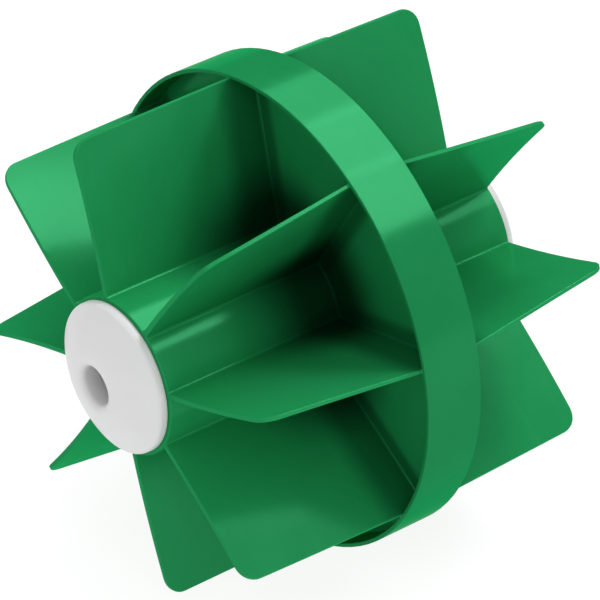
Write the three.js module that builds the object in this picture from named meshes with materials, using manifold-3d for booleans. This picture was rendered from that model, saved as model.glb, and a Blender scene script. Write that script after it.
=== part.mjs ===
// Finned lane-line roller: a hollow green drum with a thin web and a hoop round its middle and
// eight blades on each side of the web, closed by two white plugs. It turns on a white tube that
// a cable runs through.
// Millimetres. The spin axis is Y, +Z is up, and the origin is the middle of the cable hole.
import * as THREE from 'three';
import { mergeVertices } from 'three/addons/utils/BufferGeometryUtils.js';
import Module from 'manifold-3d';

// ---- driving dimensions -------------------------------------------------------------------
const GAP = 0.3;                // clearance kept between neighbouring solids
const DRUM = { radius: 24.7, bore: 22.5, half: 63.3 };          // half = middle to end face
const HOOP = { radius: 75, wall: 1.3, half: 9.7 };
const WEB = { half: 0.9 };
const BLADE = {
  count: 8,                     // on each side of the web
  firstAngle: -13.9,            // degrees from +Z towards +X
  rootEnd: 63.3,                // distance from the middle plane to the end edge, at the root
  tipEnd: 62.9,                 // and at the outer corner
  rimAtTip: 70.9,               // outer edge radius at the end; at the hoop it is the hoop's bore
  cornerRadius: 6,
  rootThickness: 1.7,
  rimThickness: 1.3,
  tipSkew: 3.85,                // degrees that alternate outer corners lean left and right
};
const CABLE_HOLE = 6;           // radius
const TUBE = { wall: 1.6, half: 65.8 };
const PLUG = {
  rimRadius: 23.9,
  rimHeight: 64.5,              // widest point of the domed head, from the middle plane
  noseHeight: 72.5,
  noseRadius: 9,                // outer edge of the flat round the cable hole
  lip: 1.5,                     // rounding of the cable hole's mouth
  spigotRadius: 22.1,
  spigotWall: 3.5,
  spigotEnd: 50.4,
  collarWall: 2.5,
  collarEnd: 54,
  shoulder: 66.2,               // where the cable hole steps out to take the guide tube
  headWall: 2.4,
};
const SEAL = { section: 0.85, height: 57.8, groove: 1.2, grooveDepth: 1.9 };
const SEGMENTS = { hoop: 72, drum: 48, plug: 36, arc: 5 };

// ---- finishes -----------------------------------------------------------------------------
const green = new THREE.MeshStandardMaterial({ color: '#1b8a4b', roughness: 0.28, metalness: 0 });
const white = new THREE.MeshStandardMaterial({ color: '#e2e2e4', roughness: 0.4, metalness: 0 });
const tubeWhite = new THREE.MeshStandardMaterial({ color: '#cfcfd2', roughness: 0.5, metalness: 0 });
const sealBlack = new THREE.MeshStandardMaterial({ color: '#1c1c1e', roughness: 0.8, metalness: 0 });

// ---- helpers ------------------------------------------------------------------------------
const wasm = await Module();
wasm.setup();

function toManifold(geometry) {
  const bare = geometry.clone();
  bare.deleteAttribute('normal');
  bare.deleteAttribute('uv');
  const merged = mergeVertices(bare, 1e-5);
  return new wasm.Manifold(new wasm.Mesh({
    numProp: 3,
    vertProperties: new Float32Array(merged.attributes.position.array),
    triVerts: new Uint32Array(merged.index.array),
  }));
}

function toGeometry(manifold) {
  const mesh = manifold.getMesh();
  const geometry = new THREE.BufferGeometry();
  geometry.setAttribute('position', new THREE.BufferAttribute(mesh.vertProperties, 3));
  geometry.setIndex(new THREE.BufferAttribute(mesh.triVerts, 1));
  return geometry;
}

function piece(name, geometry, material) {
  const mesh = new THREE.Mesh(geometry, material);
  mesh.name = name;
  return mesh;
}

// A closed section, given as [radius, height] corners, turned round the Y axis.
function turned(corners, segments) {
  const points = corners.map(([r, y]) => new THREE.Vector2(r, y));
  return new THREE.LatheGeometry([...points, points[0].clone()], segments);
}

// A plain ring or tube, centred on the middle plane.
function ring(inner, outer, half, segments) {
  return turned([[inner, -half], [outer, -half], [outer, half], [inner, half]], segments);
}

// Points of a round corner, as [radius, height], from one angle to another in degrees.
function roundCorner(centreR, centreY, radius, from, to) {
  return Array.from({ length: SEGMENTS.arc + 1 }, (_, i) => {
    const angle = THREE.MathUtils.degToRad(from + (to - from) * i / SEGMENTS.arc);
    return [centreR + radius * Math.cos(angle), centreY + radius * Math.sin(angle)];
  });
}

// ---- the green moulding -------------------------------------------------------------------
const hoopBore = HOOP.radius - HOOP.wall;
const rimSlope = (hoopBore - BLADE.rimAtTip) / (BLADE.tipEnd - HOOP.half);
const rimRadiusAt = (s) => hoopBore - rimSlope * (s - HOOP.half);

// The blade's outline, seen square on: s runs out from the middle plane, r out from the axis.
function bladeOutline(side) {
  const root = DRUM.radius + GAP;
  const underHoop = hoopBore - GAP;
  const pastHoop = HOOP.half + GAP;
  const corner = BLADE.cornerRadius;
  const cornerS = BLADE.tipEnd - corner;
  const cornerR = rimRadiusAt(cornerS) - corner * Math.hypot(1, rimSlope);
  const shape = new THREE.Shape();
  shape.moveTo(side * (WEB.half + GAP), root);
  shape.lineTo(side * (WEB.half + GAP), underHoop);
  shape.lineTo(side * pastHoop, underHoop);
  shape.lineTo(side * pastHoop, rimRadiusAt(pastHoop));
  for (let i = 0; i <= SEGMENTS.arc; i += 1) {
    const angle = (Math.PI / 2 - Math.atan(rimSlope)) * (1 - i / SEGMENTS.arc);
    shape.lineTo(side * (cornerS + corner * Math.cos(angle)), cornerR + corner * Math.sin(angle));
  }
  shape.lineTo(side * BLADE.rootEnd, root);
  shape.closePath();
  return shape;
}

// The blade's plate: thinner towards its outer edge, straight along its root and under the hoop,
// and leaning one way or the other (lean = 1 or -1) at its outer corner.
function bladePlate(side, lean) {
  const size = { thick: 1, length: 70, height: 56 };
  const plate = new THREE.BoxGeometry(size.thick, size.length, size.height, 1, 8, 5);
  const position = plate.attributes.position;
  for (let i = 0; i < position.count; i += 1) {
    const s = position.getY(i) * side + size.length / 2;
    const r = position.getZ(i) + DRUM.radius + size.height / 2 - 1;
    const out = (r - DRUM.radius) / (BLADE.rimAtTip - DRUM.radius);
    const along = Math.max(0, (s - HOOP.half) / (BLADE.tipEnd - HOOP.half));
    const skew = THREE.MathUtils.degToRad(lean * BLADE.tipSkew * along * out);
    const thickness = THREE.MathUtils.lerp(BLADE.rootThickness, BLADE.rimThickness, out);
    position.setXYZ(i, position.getX(i) * thickness + r * Math.tan(skew), side * s, r);
  }
  return plate;
}

function blade(side, lean) {
  const reach = 20;
  const cutter = new THREE.ExtrudeGeometry(bladeOutline(side), { depth: reach, bevelEnabled: false });
  cutter.translate(0, 0, -reach / 2);
  const axial = new THREE.Vector3(0, 1, 0);
  const radial = new THREE.Vector3(0, 0, 1);
  const across = new THREE.Vector3(1, 0, 0);
  cutter.applyMatrix4(new THREE.Matrix4().makeBasis(axial, radial, across));
  return toGeometry(toManifold(bladePlate(side, lean)).intersect(toManifold(cutter)));
}

function blades(prefix, side) {
  const set = new THREE.Group();
  for (let i = 0; i < BLADE.count; i += 1) {
    const lean = i % 2 === 0 ? -1 : 1;
    const mesh = piece(`${prefix}_blade_${i + 1}`, blade(side, lean), green);
    mesh.rotation.y = THREE.MathUtils.degToRad(BLADE.firstAngle + i * 360 / BLADE.count);
    set.add(mesh);
  }
  return set;
}

// The drum's wall on one side of the web, which the blades' roots stand on.
function hubHalf(name, side) {
  const foot = WEB.half + GAP;
  const length = DRUM.half - foot;
  const hub = ring(DRUM.bore, DRUM.radius, length / 2, SEGMENTS.drum);
  hub.translate(0, side * (foot + length / 2), 0);
  return piece(name, hub, green);
}

// The web runs from the drum's bore out to the hoop, as one panel from each pair of blades to the
// next.
function webPanels() {
  const set = new THREE.Group();
  const inner = DRUM.bore;
  const outer = hoopBore - GAP;
  const span = 2 * Math.PI / BLADE.count;
  const edge = (radius) => GAP / 2 / radius;
  const shape = new THREE.Shape();
  shape.absarc(0, 0, inner, edge(inner), span - edge(inner), false);
  shape.absarc(0, 0, outer, span - edge(outer), edge(outer), true);
  shape.closePath();
  const panel = new THREE.ExtrudeGeometry(shape, {
    depth: 2 * WEB.half, bevelEnabled: false, curveSegments: SEGMENTS.hoop / BLADE.count,
  });
  panel.translate(0, 0, -WEB.half);
  panel.rotateX(-Math.PI / 2);
  for (let i = 0; i < BLADE.count; i += 1) {
    const mesh = piece(`web_panel_${i + 1}`, panel, green);
    const turn = BLADE.firstAngle - 90 + i * 360 / BLADE.count;
    mesh.rotation.y = THREE.MathUtils.degToRad(turn);
    set.add(mesh);
  }
  return set;
}

function drum() {
  const set = new THREE.Group();
  set.add(
    hubHalf('front_hub', -1),
    hubHalf('rear_hub', 1),
    piece('hoop', ring(hoopBore, HOOP.radius, HOOP.half, SEGMENTS.hoop), green),
    webPanels(),
    blades('front', -1),
    blades('rear', 1),
  );
  return set;
}

// ---- the white plugs, their seals and the guide tube --------------------------------------
function plugGeometry() {
  const rimRound = 2;
  const seat = DRUM.half + GAP;
  const spigotBore = PLUG.spigotRadius - PLUG.spigotWall;
  const grooveFloor = PLUG.spigotRadius - SEAL.grooveDepth;
  const counterbore = CABLE_HOLE + TUBE.wall + GAP;
  const collar = counterbore + PLUG.collarWall;
  const shoulderRound = { r: PLUG.rimRadius - rimRound, y: PLUG.rimHeight };
  const domeStart = 62;         // degrees round the rim at which the dome leaves the rounding
  const rimArc = roundCorner(shoulderRound.r, shoulderRound.y, rimRound, 0, domeStart);
  const [edgeR, edgeY] = rimArc.at(-1);
  // The dome is a straight cone from the rim to the nose, crowned a little in the middle.
  const crown = 0.5;
  const dome = [0.2, 0.4, 0.6, 0.8].map((t) => [
    THREE.MathUtils.lerp(edgeR, PLUG.noseRadius, t),
    THREE.MathUtils.lerp(edgeY, PLUG.noseHeight, t) + crown * 4 * t * (1 - t),
  ]);
  const mouth = roundCorner(
    CABLE_HOLE + PLUG.lip, PLUG.noseHeight - PLUG.lip, PLUG.lip, 90, 180);
  return turned([
    [spigotBore, PLUG.spigotEnd],
    [PLUG.spigotRadius - 0.5, PLUG.spigotEnd],
    [PLUG.spigotRadius, PLUG.spigotEnd + 1],
    [PLUG.spigotRadius, SEAL.height - SEAL.groove],
    [grooveFloor, SEAL.height - SEAL.groove],
    [grooveFloor, SEAL.height + SEAL.groove],
    [PLUG.spigotRadius, SEAL.height + SEAL.groove],
    [PLUG.spigotRadius, seat],
    [PLUG.rimRadius, seat],
    ...rimArc,
    ...dome,
    [PLUG.noseRadius, PLUG.noseHeight],
    ...mouth,
    [CABLE_HOLE, PLUG.shoulder],
    [counterbore, PLUG.shoulder],
    [counterbore, PLUG.collarEnd],
    [collar, PLUG.collarEnd],
    [collar, PLUG.noseHeight - PLUG.lip - PLUG.headWall],
    [spigotBore, edgeY + 1 - PLUG.headWall],
  ], SEGMENTS.plug);
}

function plugWithSeal(prefix, side) {
  const set = new THREE.Group();
  const sealRadius = (PLUG.spigotRadius - SEAL.grooveDepth + DRUM.bore) / 2;
  const seal = new THREE.TorusGeometry(sealRadius, SEAL.section, 8, SEGMENTS.plug);
  seal.rotateX(Math.PI / 2);
  seal.translate(0, SEAL.height, 0);
  set.add(piece(`${prefix}_plug`, plugGeometry(), white));
  set.add(piece(`${prefix}_seal`, seal, sealBlack));
  set.rotation.x = side > 0 ? 0 : Math.PI;
  return set;
}

function guideTube() {
  return piece('guide_tube', ring(CABLE_HOLE, CABLE_HOLE + TUBE.wall, TUBE.half, SEGMENTS.plug),
    tubeWhite);
}

// ---- the whole float ----------------------------------------------------------------------
const roller = new THREE.Group();
roller.name = 'finned_roller';
roller.add(drum(), plugWithSeal('front', -1), plugWithSeal('rear', 1), guideTube());

export default roller;
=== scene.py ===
# %% [markdown]
# # A finned lane-line roller
# The real object is one green plastic moulding - a hollow drum, a thin web across its middle, a
# hoop round the web, and eight flat blades on each side - with a white plug pressed into each end
# and a cable hole right through. It turns on a white tube that stays on the cable.
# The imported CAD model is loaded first: it holds the sizes and the moving bodies, and every mesh
# made below takes its place from it.

# %% Load the frame
import math

import bmesh
import bpy
from mathutils import Matrix, Vector


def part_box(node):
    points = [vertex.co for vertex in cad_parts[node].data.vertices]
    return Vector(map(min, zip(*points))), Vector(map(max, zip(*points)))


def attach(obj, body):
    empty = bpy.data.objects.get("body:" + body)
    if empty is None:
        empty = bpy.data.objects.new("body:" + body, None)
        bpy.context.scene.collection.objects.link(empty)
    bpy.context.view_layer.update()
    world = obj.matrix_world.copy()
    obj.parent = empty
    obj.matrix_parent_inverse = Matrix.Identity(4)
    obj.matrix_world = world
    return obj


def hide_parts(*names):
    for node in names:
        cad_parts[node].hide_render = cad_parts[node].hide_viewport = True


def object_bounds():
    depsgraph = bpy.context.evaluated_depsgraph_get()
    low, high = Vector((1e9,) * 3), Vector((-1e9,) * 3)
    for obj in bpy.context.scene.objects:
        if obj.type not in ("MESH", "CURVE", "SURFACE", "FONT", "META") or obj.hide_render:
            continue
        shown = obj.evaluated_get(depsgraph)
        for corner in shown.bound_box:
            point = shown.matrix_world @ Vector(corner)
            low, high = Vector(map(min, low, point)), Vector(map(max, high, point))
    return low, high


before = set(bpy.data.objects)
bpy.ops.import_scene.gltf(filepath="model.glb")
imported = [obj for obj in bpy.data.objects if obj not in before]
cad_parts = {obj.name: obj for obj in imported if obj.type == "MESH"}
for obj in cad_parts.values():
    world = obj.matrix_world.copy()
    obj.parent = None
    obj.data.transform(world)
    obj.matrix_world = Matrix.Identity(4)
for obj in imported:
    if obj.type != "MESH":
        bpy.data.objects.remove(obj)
cad_low, cad_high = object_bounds()
MM = 0.001

# %% [markdown]
# ## Sizes
# Most sizes are read off the CAD nodes' boxes, so that the visual model can't drift away from the
# frame. The few that a box can't tell, such as the bore of a tube or the rounding of a corner, are
# named here in the frame's metres.

# %% Sizes read from the frame
def top_of(node, axis):
    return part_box(node)[1][axis]


HUB_R = top_of("rear_hub", 2)
HUB_END = top_of("rear_hub", 1)
HOOP_R = top_of("hoop", 2)
HOOP_HALF = top_of("hoop", 1)
WEB_HALF = top_of("web_panel_1", 1)
NOSE_Y = top_of("rear_plug", 1)
TUBE_R = top_of("guide_tube", 2)
TUBE_END = top_of("guide_tube", 1)

HUB_BORE = 22.5 * MM
HOOP_WALL = 1.3 * MM
BLADES = 8
FIRST_ANGLE = math.radians(-13.9)
BLADE_TIP_Y = 62.9 * MM
BLADE_TIP_R = 70.9 * MM
BLADE_CORNER = 6.0 * MM
BLADE_ROOT_THICK = 1.7 * MM
BLADE_RIM_THICK = 1.3 * MM
BLADE_LEAN = math.radians(3.85)
CABLE_HOLE = 6.0 * MM
HOOP_BORE = HOOP_R - HOOP_WALL
print("drum radius %.2f mm, hoop radius %.2f mm" % (HUB_R / MM, HOOP_R / MM))

# %% [markdown]
# ## Small mesh helpers
# A quilt is a list of points and faces that grows patch by patch. Patches share their edges, and
# points that fall on the same place are welded at the end, which is how a closed skin is sewn
# from simple rectangles.

# %% Mesh helpers
class Quilt:
    """Points and faces of a mesh that is sewn from rectangular patches."""

    def __init__(self):
        self.points = []
        self.faces = []

    def patch(self, rows):
        """Adds a grid of quads through rows of points."""
        start = len(self.points)
        width = len(rows[0])
        for row in rows:
            self.points.extend(row)
        for i in range(len(rows) - 1):
            for j in range(width - 1):
                a = start + i * width + j
                self.faces.append((a, a + 1, a + width + 1, a + width))

    def mesh(self, name, weld=1e-6, outward=True):
        """A Blender mesh with its seams welded and, if it is closed, its faces turned outwards."""
        mesh = bpy.data.meshes.new(name)
        mesh.from_pydata(self.points, [], self.faces)
        form = bmesh.new()
        form.from_mesh(mesh)
        bmesh.ops.remove_doubles(form, verts=form.verts, dist=weld)
        if outward:
            bmesh.ops.recalc_face_normals(form, faces=form.faces)
        form.to_mesh(mesh)
        form.free()
        return mesh


def open_edges(mesh):
    """How many edges don't have exactly two faces: none on a closed skin."""
    form = bmesh.new()
    form.from_mesh(mesh)
    count = sum(1 for e in form.edges if len(e.link_faces) != 2)
    form.free()
    return count


def add_object(name, mesh):
    obj = bpy.data.objects.new(name, mesh)
    bpy.context.scene.collection.objects.link(obj)
    return obj


def lerp(a, b, t):
    return a + (b - a) * t


def steps(a, b, count):
    """count + 1 evenly spaced values from a to b."""
    return [lerp(a, b, i / count) for i in range(count + 1)]


# %% [markdown]
# ## One blade and its share of the drum
# The moulding repeats every 45 degrees, and its front half mirrors its rear half. So only one
# sixteenth has to be drawn: a blade with its slice of hub, web and hoop, from the middle plane to
# one end. Every corner is left sharp here. A bevel rounds them all later, which is quicker than
# modelling each fillet and keeps this cell readable.
#
# The blades are not quite radial. Their outer corners lean alternately left and right, so the
# blade's skin is a gently twisted sheet, straight at the root and under the hoop.

# %% The blade's outline
SIDE_COLUMNS = 6      # columns of faces from a blade to the middle of the pocket beside it
BLADE_ROWS = 10       # rows of faces from the root to the outer edge
BLADE_COLUMNS = 12    # columns of faces from the hoop to the end
ARC_HALF = 4          # faces on each half of the blade's round corner
RIM_SLOPE = (HOOP_BORE - BLADE_TIP_R) / (BLADE_TIP_Y - HOOP_HALF)


def blade_half_thickness(r):
    return lerp(BLADE_ROOT_THICK, BLADE_RIM_THICK, (r - HUB_R) / (HOOP_BORE - HUB_R)) / 2


def blade_point(r, s, side):
    """A point on the blade's skin: r out from the axis, s along it, side -1 or 1."""
    half = blade_half_thickness(r)
    out = (r - HUB_R) / (BLADE_TIP_R - HUB_R)
    along = max(0.0, (s - HOOP_HALF) / (BLADE_TIP_Y - HOOP_HALF))
    lean = -BLADE_LEAN * along * out
    return (side * half + r * math.tan(lean), s, math.sqrt(r * r - half * half))


def blade_boundary():
    """The outline beyond the hoop as (s, r): its outer edge and its end, both ending mid corner."""
    corner_s = BLADE_TIP_Y - BLADE_CORNER
    corner_r = HOOP_BORE - RIM_SLOPE * (corner_s - HOOP_HALF) - BLADE_CORNER
    turn = math.pi / 2 - math.atan(RIM_SLOPE)

    def arc(t):
        angle = turn * t
        return (corner_s + BLADE_CORNER * math.cos(angle),
                corner_r + BLADE_CORNER * math.sin(angle))

    top_start, top_end = arc(1.0), arc(0.0)
    straight = BLADE_COLUMNS - ARC_HALF
    top = [(lerp(HOOP_HALF, top_start[0], i / straight),
            lerp(HOOP_BORE, top_start[1], i / straight)) for i in range(straight)]
    top += [arc(1.0 - 0.5 * i / ARC_HALF) for i in range(ARC_HALF + 1)]
    straight = BLADE_ROWS - ARC_HALF
    end = [(lerp(HUB_END, top_end[0], i / straight), lerp(HUB_R, top_end[1], i / straight))
           for i in range(straight)]
    end += [arc(0.5 * i / ARC_HALF) for i in range(ARC_HALF + 1)]
    return top, end


def blade_grid():
    """Rows of (s, r) over the blade: a Coons patch beyond the hoop, straight rows beneath it."""
    top, end = blade_boundary()
    root = [(s, HUB_R) for s in steps(HOOP_HALF, HUB_END, BLADE_COLUMNS)]
    hoop_side = [(HOOP_HALF, r) for r in steps(HUB_R, HOOP_BORE, BLADE_ROWS)]
    under = steps(WEB_HALF, HOOP_HALF, 2)[:-1]
    rows = []
    for i in range(BLADE_ROWS + 1):
        v = i / BLADE_ROWS
        row = [(s, hoop_side[i][1]) for s in under]
        for j in range(BLADE_COLUMNS + 1):
            u = j / BLADE_COLUMNS
            point = []
            for k in (0, 1):
                across = lerp(hoop_side[i][k], end[i][k], u) + lerp(root[j][k], top[j][k], v)
                corners = lerp(lerp(root[0][k], root[-1][k], u), lerp(top[0][k], top[-1][k], u), v)
                point.append(across - corners)
            row.append(tuple(point))
        rows.append(row)
    return rows


# %% The sector's skin
def around(radius, s, first, last, count):
    """Points at one radius and height, from one angle to another."""
    return [(radius * math.sin(a), s, radius * math.cos(a)) for a in steps(first, last, count)]


def ring_row(radius, s, edge_radius):
    """A row right across the sector, with a column the width of the blade in its middle."""
    edge = math.asin(blade_half_thickness(edge_radius) / edge_radius)
    reach = math.pi / BLADES
    left = around(radius, s, -reach, -edge, SIDE_COLUMNS)
    right = around(radius, s, edge, reach, SIDE_COLUMNS)
    return left + right


def pocket_row(radius, s, side):
    """A row from the blade's side to the middle of the pocket beside it."""
    edge = math.asin(blade_half_thickness(radius) / radius)
    return around(radius, s, side * edge, side * math.pi / BLADES, SIDE_COLUMNS)


def sector_mesh():
    quilt = Quilt()
    grid = blade_grid()
    root_s = [s for s, _ in grid[0]]
    hoop_s = steps(WEB_HALF, HOOP_HALF, 2)
    radii = steps(HUB_R, HOOP_BORE, BLADE_ROWS)
    for side in (-1, 1):
        quilt.patch([[blade_point(r, s, side) for s, r in row] for row in grid])
        quilt.patch([pocket_row(HUB_R, s, side) for s in root_s])
        quilt.patch([pocket_row(r, WEB_HALF, side) for r in radii])
        quilt.patch([pocket_row(HOOP_BORE, s, side) for s in hoop_s])
    outline = grid[-1][2:] + [row[-1] for row in reversed(grid[:-1])]
    quilt.patch([[blade_point(r, s, side) for s, r in outline] for side in (-1, 1)])
    quilt.patch([ring_row(r, HOOP_HALF, HOOP_BORE) for r in (HOOP_BORE, HOOP_R)])
    quilt.patch([ring_row(HOOP_R, s, HOOP_BORE) for s in steps(0, HOOP_HALF, 2)])
    quilt.patch([ring_row(r, HUB_END, HUB_R) for r in (HUB_BORE, HUB_R)])
    quilt.patch([ring_row(HUB_BORE, s, HUB_R) for s in steps(0, HUB_END, 4)])
    return quilt.mesh("sector")


sector = sector_mesh()
print("one sector:", len(sector.polygons), "faces")

# %% [markdown]
# ## Repeating the sector with Geometry Nodes
# The tree joins the sector to its mirror image, so that neighbouring blades lean opposite ways,
# sets that pair down once for every two blades round the axis, mirrors the result across the
# middle plane and welds the seams. It also writes the weight that the bevel reads: inner corners
# get a wide fillet and outer ones a fine rounding, told apart by the sign of the edge's angle.

# %% A small wrapper for building node trees
class Value:
    """A node socket that can be used in Python arithmetic."""

    def __init__(self, tree, socket):
        self.tree = tree
        self.socket = socket

    def math(self, operation, *values):
        return self.tree.node("ShaderNodeMath", {"operation": operation}, [self, *values])

    def __add__(self, other):
        return self.math("ADD", other)

    def __sub__(self, other):
        return self.math("SUBTRACT", other)

    def __rsub__(self, other):
        return self.tree.node("ShaderNodeMath", {"operation": "SUBTRACT"}, [other, self])

    def __mul__(self, other):
        return self.math("MULTIPLY", other)

    def __truediv__(self, other):
        return self.math("DIVIDE", other)

    def __pow__(self, other):
        return self.math("POWER", other)

    __radd__ = __add__
    __rmul__ = __mul__


class Tree:
    """Adds nodes to a tree: a type, its settings, then its values or links by order or by name."""

    def __init__(self, tree):
        self.tree = tree

    def place(self, kind, settings=None, values=()):
        made = self.tree.nodes.new(kind)
        for key, setting in (settings or {}).items():
            setattr(made, key, setting)
        pairs = values.items() if isinstance(values, dict) else enumerate(values)
        for key, value in pairs:
            socket = made.inputs[key]
            if isinstance(value, Value):
                self.tree.links.new(value.socket, socket)
            else:
                socket.default_value = value
        return made

    def node(self, kind, settings=None, values=(), output=0):
        return Value(self, self.place(kind, settings, values).outputs[output])


# %% The repeating tree
def repeat_tree(material):
    group = bpy.data.node_groups.new("repeat_round_axis", "GeometryNodeTree")
    face = group.interface
    face.new_socket("Geometry", in_out="INPUT", socket_type="NodeSocketGeometry")
    for name in ("Blade Pairs", "First Angle", "Inner Fillet", "Hoop Fillet", "Outer Rounding"):
        kind = "NodeSocketInt" if name == "Blade Pairs" else "NodeSocketFloat"
        face.new_socket(name, in_out="INPUT", socket_type=kind)
    face.new_socket("Geometry", in_out="OUTPUT", socket_type="NodeSocketGeometry")
    t = Tree(group)
    given = {s.name: Value(t, s) for s in t.place("NodeGroupInput").outputs if s.name}

    def moved(geometry, rotation=(0, 0, 0), scale=(1, 1, 1)):
        return t.node("GeometryNodeTransform", None,
                      {"Geometry": geometry, "Rotation": rotation, "Scale": scale})

    def joined(*parts):
        join = t.place("GeometryNodeJoinGeometry")
        for part in reversed(parts):
            group.links.new(part.socket, join.inputs[0])
        return Value(t, join.outputs[0])

    def mirrored(geometry, scale, rotation=(0, 0, 0)):
        flipped = t.node("GeometryNodeFlipFaces", None, {"Mesh": moved(geometry, scale=scale)})
        return moved(flipped, rotation=rotation)

    one = given["Geometry"]
    pair = joined(one, mirrored(one, (-1, 1, 1), (0, 2 * math.pi / BLADES, 0)))
    points = t.node("GeometryNodePoints", None, {"Count": given["Blade Pairs"]})
    index = t.node("GeometryNodeInputIndex")
    angle = index * (2 * math.pi) / given["Blade Pairs"] + given["First Angle"]
    turn = t.node("ShaderNodeCombineXYZ", None, {"Y": angle})
    half = t.node("GeometryNodeInstanceOnPoints", None,
                  {"Points": points, "Instance": pair, "Rotation": turn})
    half = t.node("GeometryNodeRealizeInstances", None, {"Geometry": half})
    whole = joined(half, mirrored(half, (1, -1, 1)))
    whole = t.node("GeometryNodeMergeByDistance", None, {"Geometry": whole, "Distance": 2e-6})

    bend = t.node("GeometryNodeInputMeshEdgeAngle", None, (), 1)
    place = t.place("ShaderNodeSeparateXYZ", None, [t.node("GeometryNodeInputPosition")])
    x, z = Value(t, place.outputs[0]), Value(t, place.outputs[2])
    far_out = (x * x + z * z).math("GREATER_THAN", (HOOP_BORE * 0.97) ** 2)
    crease = math.radians(30)
    inner = bend.math("LESS_THAN", -crease)
    outer = bend.math("GREATER_THAN", crease)
    fillet = far_out * given["Hoop Fillet"] + (1 - far_out) * given["Inner Fillet"]
    weight = (inner * fillet + outer * given["Outer Rounding"]) / given["Inner Fillet"]
    whole = t.node("GeometryNodeStoreNamedAttribute", {"data_type": "FLOAT", "domain": "EDGE"},
                   {"Geometry": whole, "Name": "bevel_weight_edge", "Value": weight})
    whole = t.node("GeometryNodeSetShadeSmooth", None, {"Geometry": whole})
    whole = t.node("GeometryNodeRealizeInstances", None, {"Geometry": whole})
    whole = t.node("GeometryNodeSetMaterial", None, {"Geometry": whole, "Material": material})
    group.links.new(whole.socket, t.place("NodeGroupOutput").inputs[0])
    return group


def run_tree(obj, tree, inputs):
    """Runs a tree on an object with named inputs and returns the result as a plain mesh."""
    modifier = obj.modifiers.new("nodes", "NODES")
    modifier.node_group = tree
    for item in tree.interface.items_tree:
        if item.in_out == "INPUT" and item.name in inputs:
            modifier[item.identifier] = inputs[item.name]
    bpy.context.view_layer.update()
    graph = bpy.context.evaluated_depsgraph_get()
    mesh = bpy.data.meshes.new_from_object(obj.evaluated_get(graph))
    obj.modifiers.clear()
    return mesh


# %% [markdown]
# ## Materials
# Injection-moulded polypropylene is glossy but never perfect. Its colour drifts a little where the
# melt flowed, the surface carries a fine orange-peel ripple, and the parts that knock against
# things, here the hoop and the outer edges, are scuffed duller and paler. All of it is worked out
# from the object's own coordinates, so nothing slides when the drum turns.

# %% Material helpers
def new_material(name):
    material = bpy.data.materials.new(name)
    material.use_nodes = True
    material.node_tree.nodes.clear()
    return material, Tree(material.node_tree)


def principled(t, values, surface):
    """The Principled shader with constant values, then the links that vary over the surface."""
    shader = t.place("ShaderNodeBsdfPrincipled", None, values)
    for name, value in surface.items():
        t.tree.links.new(value.socket, shader.inputs[name])
    output = t.place("ShaderNodeOutputMaterial")
    t.tree.links.new(shader.outputs[0], output.inputs["Surface"])
    return shader


def noise(t, where, scale, detail=2.0, roughness=0.5):
    return t.node("ShaderNodeTexNoise", None,
                  {"Vector": where, "Scale": scale, "Detail": detail, "Roughness": roughness})


def ramp(t, value, low, high, to_low=0.0, to_high=1.0):
    """Maps a value from low..high to to_low..to_high with a smooth step, clamped at both ends."""
    return t.node("ShaderNodeMapRange", {"interpolation_type": "SMOOTHSTEP"},
                  [value, low, high, to_low, to_high])


def blend(t, factor, first, second):
    """Mixes two colours."""
    mix = t.place("ShaderNodeMix", {"data_type": "RGBA"}, {"Factor": factor})
    for index, colour in ((6, first), (7, second)):
        if isinstance(colour, Value):
            t.tree.links.new(colour.socket, mix.inputs[index])
        else:
            mix.inputs[index].default_value = (*colour, 1.0)
    return Value(t, mix.outputs[2])


def stretched(t, where, scale):
    """The same coordinates squeezed or drawn out along each axis."""
    return t.node("ShaderNodeVectorMath", {"operation": "MULTIPLY"}, [where, scale])


def bumps(t, layers):
    """A normal from several (height, distance in metres) layers."""
    normal = None
    for height, distance in layers:
        values = {"Height": height, "Distance": distance, "Strength": 1.0}
        if normal is not None:
            values["Normal"] = normal
        normal = t.node("ShaderNodeBump", None, values)
    return normal


# %% [markdown]
# ### Green drum plastic
# Three scales work together: slow drifts in the green, streaks that run out from the drum along
# the blades, as the melt flowed, and a fine ripple that breaks up reflections.
#
# Masks say where a point lies on the moulding. The hoop and the blades' outer edges get scuffed.
# The hoop, and the faces that look along the axis, get painted shade: a darker green that stands
# in for shade. Painted shade also darkens the pockets, where shade falls: along the seams between
# blades and web, and most in the corner of drum and web.

# %% Where a point lies on the drum
def drum_masks(t, where, drift):
    """The radius and angle about the axis, the distance along it, and the masks by name."""
    parts = t.place("ShaderNodeSeparateXYZ", None, [where])
    x, y, z = (Value(t, parts.outputs[i]) for i in range(3))
    radius = (x * x + z * z) ** 0.5
    angle = t.node("ShaderNodeMath", {"operation": "ARCTAN2"}, [x, z])
    facing = t.place("ShaderNodeSeparateXYZ", None, [t.node("ShaderNodeTexCoord", None, (), 1)])
    step = 2 * math.pi / BLADES
    turns = ((angle - FIRST_ANGLE) / step + 0.5).math("FRACT") - 0.5
    from_blade = turns.math("ABSOLUTE") * step * radius
    from_seam = (y * y + from_blade * from_blade * 5.0) ** 0.5
    out = radius - HUB_R
    from_corner = (out * out * 1.7 + y * y * 0.72) ** 0.5
    on_hoop = ramp(t, radius, HOOP_BORE - 0.8 * MM, HOOP_BORE + 0.4 * MM)
    return radius, angle, y, {
        "worn": ramp(t, radius, BLADE_TIP_R * 0.965, HOOP_R),
        # Masks for painted shade: the hoop, and the faces that look along the axis.
        "hoop": on_hoop,
        "end_on": ramp(t, Value(t, facing.outputs[1]).math("ABSOLUTE"), 0.5, 0.95),
        # Masks for painted shade in the pockets: along the blade and web seams, deepest in the
        # corner.
        "seam": ramp(t, from_seam + drift * 0.003, 19 * MM, 10 * MM) * (1 - on_hoop),
        "deep": ramp(t, from_corner + drift * 0.005, 36 * MM, 11 * MM),
    }


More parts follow.
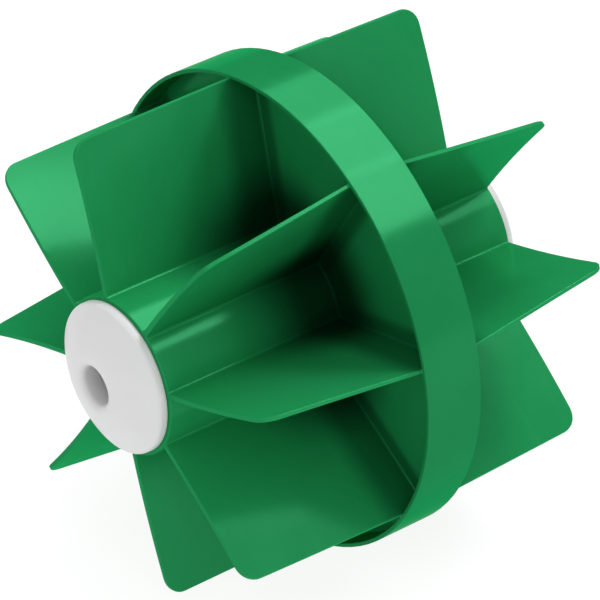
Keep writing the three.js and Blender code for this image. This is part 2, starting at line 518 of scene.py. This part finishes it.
# %% [markdown]
# The shine is a second shader, mixed in by a Fresnel node, because pigment close under this clear
# plastic tints its highlights green, which one dielectric shader can't do.

# %% Green drum plastic
GREEN_LOW, GREEN_HIGH = (0.0125, 0.250, 0.074), (0.0150, 0.272, 0.084)
GREEN_STREAK = (0.018, 0.29, 0.093)
# A darker green, painted shade for the hoop and for faces that look along the axis.
GREEN_PAINTED_SHADE = (0.004, 0.110, 0.030)
GREEN_WORN = (0.030, 0.320, 0.120)
# Near-black greens, painted shade for the pockets.
SEAM_PAINTED_SHADE, DEEP_PAINTED_SHADE = (0.001, 0.020, 0.007), (0.001, 0.016, 0.006)
SHINE_TINT = (0.17, 1.0, 0.46, 1.0)


def green_plastic():
    material, t = new_material("green_drum_plastic")
    where = t.node("ShaderNodeTexCoord", None, (), 3)
    drift = noise(t, where, 28.0, 3.0)
    radius, angle, y, mask = drum_masks(t, where, drift)
    flow = t.node("ShaderNodeCombineXYZ", None, [angle * 0.075, y, radius * 0.12])
    streak = noise(t, flow, 420.0, 3.0)
    ripple = noise(t, where, 240.0, 2.0)
    grain = noise(t, where, 2600.0, 2.0)
    scratch = noise(t, stretched(t, where, (1.0, 9.0, 1.0)), 260.0, 5.0, 0.65)
    scuff = mask["worn"] * ramp(t, scratch, 0.60, 0.76)

    base = blend(t, ramp(t, drift, 0.35, 0.65), GREEN_LOW, GREEN_HIGH)
    for factor, colour in (
        (ramp(t, streak, 0.5, 0.75) * 0.25, GREEN_STREAK),
        # Painted shade: the hoop and the faces that look along the axis are darkened.
        (mask["hoop"] * 0.36, GREEN_PAINTED_SHADE),
        (mask["end_on"] * 0.30, GREEN_PAINTED_SHADE),
        # Painted shade in the pockets, darkest in the corner of drum and web.
        (mask["seam"] * 0.55, SEAM_PAINTED_SHADE),
        (mask["deep"] * 0.93, DEEP_PAINTED_SHADE),
        (scuff * 0.12, GREEN_WORN),
    ):
        base = blend(t, factor, base, colour)
    rough = drift * 0.06 + grain * 0.03 + scuff * 0.10 + mask["deep"] * 0.10 + 0.12
    normal = bumps(t, [(ripple, 0.00002), (grain, 0.000003), (scratch * mask["worn"], 0.000004)])

    pigment = t.place("ShaderNodeBsdfPrincipled", None, {"Specular IOR Level": 0.0})
    gloss = t.place("ShaderNodeBsdfPrincipled", None,
                    {"Metallic": 1.0, "Base Color": SHINE_TINT, "Specular Tint": SHINE_TINT})
    for shader in (pigment, gloss):
        t.tree.links.new(rough.socket, shader.inputs["Roughness"])
        t.tree.links.new(normal.socket, shader.inputs["Normal"])
    t.tree.links.new(base.socket, pigment.inputs["Base Color"])
    fresnel = t.node("ShaderNodeFresnel", None, {"IOR": 1.40, "Normal": normal})
    shine = (fresnel * 0.26 + 0.024) * (1 - mask["deep"] * 0.85)
    mix = t.place("ShaderNodeMixShader", None, {"Fac": shine})
    t.tree.links.new(pigment.outputs[0], mix.inputs[1])
    t.tree.links.new(gloss.outputs[0], mix.inputs[2])
    t.tree.links.new(mix.outputs[0], t.place("ShaderNodeOutputMaterial").inputs["Surface"])
    return material


GREEN = green_plastic()

# %% [markdown]
# ### White plug plastic
# The plugs are a plain white of a softer gloss. Handling leaves faint marks on the crown, and a
# little grey dirt gathers round the mouth of the cable hole where the cable rubs.

# %% White plug plastic
def white_plastic():
    material, t = new_material("white_plug_plastic")
    where = t.node("ShaderNodeTexCoord", None, (), 3)
    parts = t.place("ShaderNodeSeparateXYZ", None, [where])
    x, z = Value(t, parts.outputs[0]), Value(t, parts.outputs[2])
    radius = (x * x + z * z) ** 0.5
    cloud = noise(t, where, 90.0, 4.0)
    fine = noise(t, where, 1900.0, 2.0)
    marks = noise(t, stretched(t, where, (1.0, 1.0, 5.0)), 320.0, 5.0, 0.7)
    mark = ramp(t, marks, 0.62, 0.74)
    rubbed = ramp(t, radius + cloud * 0.003, CABLE_HOLE + 0.0045, CABLE_HOLE)
    base = blend(t, cloud, (0.65, 0.65, 0.655), (0.71, 0.71, 0.715))
    base = blend(t, rubbed * 0.30, base, (0.40, 0.40, 0.40))
    base = blend(t, mark * 0.12, base, (0.55, 0.55, 0.55))
    rough = cloud * 0.08 + fine * 0.05 + mark * 0.1 + 0.34
    normal = bumps(t, [(cloud, 0.00005), (fine, 0.000006), (marks, 0.000008)])
    principled(t, {"IOR": 1.46}, {"Base Color": base, "Roughness": rough, "Normal": normal})
    return material


WHITE = white_plastic()

# %% [markdown]
# ### Guide tube and seal rubber
# The tube is extruded, so its marks run along the axis. The seals are matt black rubber with the
# powdery bloom that rubber gets in storage.

# %% Guide tube and seal rubber
def tube_plastic():
    material, t = new_material("guide_tube_plastic")
    where = t.node("ShaderNodeTexCoord", None, (), 3)
    lines = noise(t, stretched(t, where, (1.0, 0.02, 1.0)), 1500.0, 3.0)
    cloud = noise(t, where, 120.0, 3.0)
    base = blend(t, lines, (0.52, 0.52, 0.53), (0.64, 0.64, 0.65))
    principled(t, {"IOR": 1.46}, {"Base Color": base, "Roughness": cloud * 0.15 + 0.38,
                                  "Normal": bumps(t, [(lines, 0.00001)])})
    return material


def seal_rubber():
    material, t = new_material("seal_rubber")
    where = t.node("ShaderNodeTexCoord", None, (), 3)
    bloom = noise(t, where, 240.0, 5.0, 0.7)
    base = blend(t, ramp(t, bloom, 0.5, 0.8) * 0.5, (0.012, 0.012, 0.013), (0.06, 0.06, 0.062))
    principled(t, {"IOR": 1.52}, {"Base Color": base, "Roughness": bloom * 0.2 + 0.62,
                                  "Normal": bumps(t, [(bloom, 0.00002)])})
    return material


TUBE_FINISH = tube_plastic()
RUBBER = seal_rubber()

# %% [markdown]
# ## The finned drum
# The sector goes through the tree, and the welded skin then gets its bevel. One modifier makes
# both the wide fillets and the fine roundings, because it multiplies its width by each edge's
# weight. Hardened normals keep the large flat blades flat to the eye right up to their fillets.

# %% Make the finned drum
INNER_FILLET = 0.8 * MM
HOOP_FILLET = 0.5 * MM
OUTER_ROUNDING = 0.28 * MM

drum = add_object("finned_drum", sector)
drum_mesh = run_tree(drum, repeat_tree(GREEN), {
    "Blade Pairs": BLADES // 2,
    "First Angle": FIRST_ANGLE,
    "Inner Fillet": INNER_FILLET,
    "Hoop Fillet": HOOP_FILLET,
    "Outer Rounding": OUTER_ROUNDING,
})
drum.data = drum_mesh
drum_mesh.materials.clear()
drum_mesh.materials.append(GREEN)
bevel = drum.modifiers.new("fillets", "BEVEL")
bevel.limit_method = "WEIGHT"
bevel.offset_type = "OFFSET"
bevel.width = INNER_FILLET
bevel.segments = 4
bevel.harden_normals = True
print("finned drum:", len(drum_mesh.polygons), "faces,", open_edges(drum_mesh), "open edges")

# %% [markdown]
# ## Turned pieces
# The plugs, the tube and the seals are round, so each is one closed section spun about the axis.
# A section is a short list of corners, and each corner may carry a rounding, which is worked out
# as an arc between the two straight edges that meet there.

# %% Helpers for turned pieces
def rounded_section(corners, arc_faces=6):
    """Corners as (radius, y, rounding): a closed outline with an arc in each rounded corner."""
    outline = []
    count = len(corners)
    for i, (r, y, rounding) in enumerate(corners):
        here = Vector((r, y))
        if not rounding:
            outline.append(here)
            continue
        before = (Vector(corners[i - 1][:2]) - here).normalized()
        after = (Vector(corners[(i + 1) % count][:2]) - here).normalized()
        half = before.angle(after) / 2
        reach = rounding / math.tan(half)
        centre = here + (before + after).normalized() * (rounding / math.sin(half))
        start = here + before * reach - centre
        end = here + after * reach - centre
        turn = start.angle_signed(end)
        for k in range(arc_faces + 1):
            angle = -turn * k / arc_faces
            spun = Vector((start.x * math.cos(angle) - start.y * math.sin(angle),
                           start.x * math.sin(angle) + start.y * math.cos(angle)))
            outline.append(centre + spun)
    return [(p.x, p.y) for p in outline]


def turned_piece(name, outline, material, sides=96, flip=False):
    """Spins a closed outline of (radius, y) about the axis; flip turns it to the front end."""
    sign = -1 if flip else 1
    loop = [*outline, outline[0]]
    quilt = Quilt()
    turns = steps(0, 2 * math.pi, sides)
    quilt.patch([[(r * math.sin(a), sign * y, r * math.cos(a)) for r, y in loop] for a in turns])
    mesh = quilt.mesh(name)
    mesh.materials.append(material)
    mesh.polygons.foreach_set("use_smooth", [True] * len(mesh.polygons))
    mesh.set_sharp_from_angle(angle=math.radians(32))
    obj = add_object(name, mesh)
    print(name, len(mesh.polygons), "faces,", open_edges(mesh), "open edges")
    return obj


# %% [markdown]
# ## End plugs
# Each plug is a shallow dome with a rolled rim. A spigot below it presses into the drum and holds
# a seal in a groove, and a collar in its middle takes the end of the guide tube. The head is thin,
# as a moulding's must be, so the plug is hollow from behind.

# %% Make the end plugs
PLUG_RIM_R = top_of("rear_plug", 2) - 0.45 * MM
PLUG_SEAT = HUB_END + 0.03 * MM
PLUG_RIM_Y = 65.9 * MM
NOSE_R = 9.0 * MM
SPIGOT_R = 22.1 * MM
SPIGOT_BORE = 18.6 * MM
COUNTERBORE = 7.9 * MM
SHOULDER_Y = TUBE_END + 0.1 * MM


def plug_outline():
    dome = []
    faces = 10
    for i in range(faces + 1):
        t = i / faces
        crown = 0.6 * MM * 4 * t * (1 - t)
        dome.append((lerp(PLUG_RIM_R, NOSE_R, t), lerp(PLUG_RIM_Y, NOSE_Y, t) + crown,
                     1.6 * MM if i == 0 else 0))
    seal_low, seal_high = 56.6 * MM, 59.0 * MM
    groove = 20.2 * MM
    return rounded_section([
        (SPIGOT_BORE, 50.4 * MM, 0.4 * MM),
        (SPIGOT_R, 50.4 * MM, 0.6 * MM),
        (SPIGOT_R, seal_low, 0.2 * MM),
        (groove, seal_low, 0.2 * MM),
        (groove, seal_high, 0.2 * MM),
        (SPIGOT_R, seal_high, 0.2 * MM),
        (SPIGOT_R, PLUG_SEAT, 0.3 * MM),
        (PLUG_RIM_R, PLUG_SEAT, 0.25 * MM),
        *dome,
        (CABLE_HOLE, NOSE_Y, 2.0 * MM),
        (CABLE_HOLE, SHOULDER_Y, 0.2 * MM),
        (COUNTERBORE, SHOULDER_Y, 0),
        (COUNTERBORE, 54.0 * MM, 0.4 * MM),
        (10.4 * MM, 54.0 * MM, 0.4 * MM),
        (10.4 * MM, 68.6 * MM, 1.0 * MM),
        (SPIGOT_BORE, 65.0 * MM, 1.5 * MM),
    ])


plugs = [turned_piece(name + "_plug_moulding", plug_outline(), WHITE, flip=(name == "front"))
         for name in ("front", "rear")]

# %% [markdown]
# ## Seals and guide tube
# The seal is a plain ring of round section. The tube's ends are chamfered a little so that a cable
# threads in without catching.

# %% Make the seals and the guide tube
def circle_outline(centre_r, centre_y, radius, faces=16):
    return [(centre_r + radius * math.cos(a), centre_y + radius * math.sin(a))
            for a in steps(0, 2 * math.pi, faces)[:-1]]


seal_low, seal_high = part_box("rear_seal")
seal_outline = circle_outline(21.35 * MM, (seal_low.y + seal_high.y) / 2,
                              (seal_high.y - seal_low.y) / 2)
seals = [turned_piece(name + "_seal_ring", seal_outline, RUBBER, 72, name == "front")
         for name in ("front", "rear")]
tube_outline = rounded_section([
    (CABLE_HOLE, -TUBE_END, 0.4 * MM),
    (TUBE_R, -TUBE_END, 0.3 * MM),
    (TUBE_R, TUBE_END, 0.3 * MM),
    (CABLE_HOLE, TUBE_END, 0.4 * MM),
], 3)
tube = turned_piece("cable_guide_tube", tube_outline, TUBE_FINISH)

# %% [markdown]
# ## Riding on the frame
# Every piece rides on the body that carries its CAD solid, takes its finish's slot, and hides the
# solids it stands for. The one-piece drum stands for the hub, the web, the hoop and all blades.

# %% Attach the pieces
green_nodes = ["front_hub", "rear_hub", "hoop"]
green_nodes += ["web_panel_%d" % (i + 1) for i in range(BLADES)]
green_nodes += ["%s_blade_%d" % (end, i + 1) for end in ("front", "rear") for i in range(BLADES)]
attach(drum, "drum")
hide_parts(*green_nodes)
for end, plug, seal in zip(("front", "rear"), plugs, seals):
    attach(plug, "drum")
    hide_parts(end + "_plug")
    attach(seal, "drum")
    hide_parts(end + "_seal")
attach(tube, "core")
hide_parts("guide_tube")

# %% [markdown]
# ## Studio
# A plain pale floor that glows a little, so that shadows on it stay faint. Three softboxes hang in
# an arc overhead and slightly behind. The arc follows the cone on which a surface round the axis
# mirrors the camera's view, so the hoop, the drum and the upper blades catch one long sheen. The
# room is pale, brightest overhead and in front, and dimmer behind the object.

# %% Helpers for the floor, the lights and the room
def studio_floor():
    quilt = Quilt()
    reach, floor_z = 3.0, cad_low.z
    quilt.patch([[(-reach, y, floor_z), (reach, y, floor_z)] for y in (-reach, reach)])
    mesh = quilt.mesh("studio_floor", outward=False)
    material, t = new_material("pale_floor")
    where = t.node("ShaderNodeTexCoord", None, (), 3)
    cloud = noise(t, where, 6.0, 3.0)
    base = blend(t, cloud, (0.165, 0.165, 0.165), (0.18, 0.18, 0.18))
    principled(t, {"IOR": 1.4, "Emission Color": (1.0, 1.0, 1.0, 1.0), "Emission Strength": 0.88},
               {"Base Color": base, "Roughness": cloud * 0.1 + 0.7})
    mesh.materials.append(material)
    return add_object("studio_floor", mesh)


def soft_light(name, place, along, size, power):
    """A rectangular softbox that faces the object, with its long side along a direction."""
    data = bpy.data.lights.new(name, "AREA")
    data.shape = "RECTANGLE"
    data.size, data.size_y = size
    data.energy = power
    lamp = bpy.data.objects.new(name, data)
    lamp.location = place
    away = place.normalized()
    side = (along - away * along.dot(away)).normalized()
    lamp.rotation_mode = "QUATERNION"
    lamp.rotation_quaternion = Matrix((side, away.cross(side), away)).transposed().to_quaternion()
    bpy.context.scene.collection.objects.link(lamp)
    return lamp


def overhead_softbox(number, degrees, power):
    """One box of the arc, so many degrees round the axis from straight up."""
    turn = math.radians(degrees)
    place = Vector((math.sin(turn) * math.cos(BACK_TILT), math.sin(BACK_TILT) + 0.01,
                    math.cos(turn) * math.cos(BACK_TILT))) * SOFTBOX_DISTANCE
    along = Vector((math.cos(turn), 0, -math.sin(turn)))
    return soft_light("overhead_softbox_%d" % number, place, along, SOFTBOX_SIZE, power)


def pale_room():
    """A white room, brighter overhead, in front and to the right."""
    world = bpy.data.worlds.new("pale_room")
    world.use_nodes = True
    t = Tree(world.node_tree)
    direction = t.place("ShaderNodeSeparateXYZ", None, [t.node("ShaderNodeTexCoord", None, (), 0)])
    x, y, z = (Value(t, direction.outputs[i]) for i in range(3))
    sky = ramp(t, z, 0.0, 0.9, 0.58, 0.98) * ramp(t, y, 0.8, -0.8, 0.46, 1.27)
    sky = sky * ramp(t, x, -0.8, 0.8, 0.86, 1.12)
    t.tree.links.new(sky.socket, t.tree.nodes["Background"].inputs["Color"])
    return world


# %% Light the scene
BACK_TILT = math.radians(28.5)
SOFTBOX_DISTANCE = 1.1
SOFTBOX_SIZE = (0.53, 0.24)
SOFTBOXES = ((-35.0, 1.7), (-6.0, 2.95), (24.0, 3.1))    # degrees round the axis, watts

floor = studio_floor()
lamps = [overhead_softbox(i + 1, *box) for i, box in enumerate(SOFTBOXES)]
bpy.context.scene.world = pale_room()
bpy.context.scene.view_settings.view_transform = "Standard"
print(len(lamps), "softboxes")

# %% [markdown]
# ## Camera
# A long lens from above and to the right of the front plug, a good metre away.

# %% Camera
VIEW_AZIMUTH = math.radians(51.83)
VIEW_ELEVATION = math.radians(34.31)
VIEW_DISTANCE = 1.3392
VIEW_AIM = Vector((0.0015, 0.0017, -0.0002))
towards = Vector((math.sin(VIEW_AZIMUTH) * math.cos(VIEW_ELEVATION),
                  -math.cos(VIEW_AZIMUTH) * math.cos(VIEW_ELEVATION),
                  math.sin(VIEW_ELEVATION)))
camera_data = bpy.data.cameras.new("camera")
camera_data.lens = 272.4
camera_data.sensor_width = 36.0
camera = bpy.data.objects.new("camera", camera_data)
camera.location = VIEW_AIM + towards * VIEW_DISTANCE
camera.rotation_mode = "QUATERNION"
camera.rotation_quaternion = (-towards).to_track_quat("-Z", "Y")
bpy.context.scene.collection.objects.link(camera)
bpy.context.scene.camera = camera

# %% Print the CAD box and finish
print("CAD box", [round(v / MM, 2) for v in (*cad_low, *cad_high)])
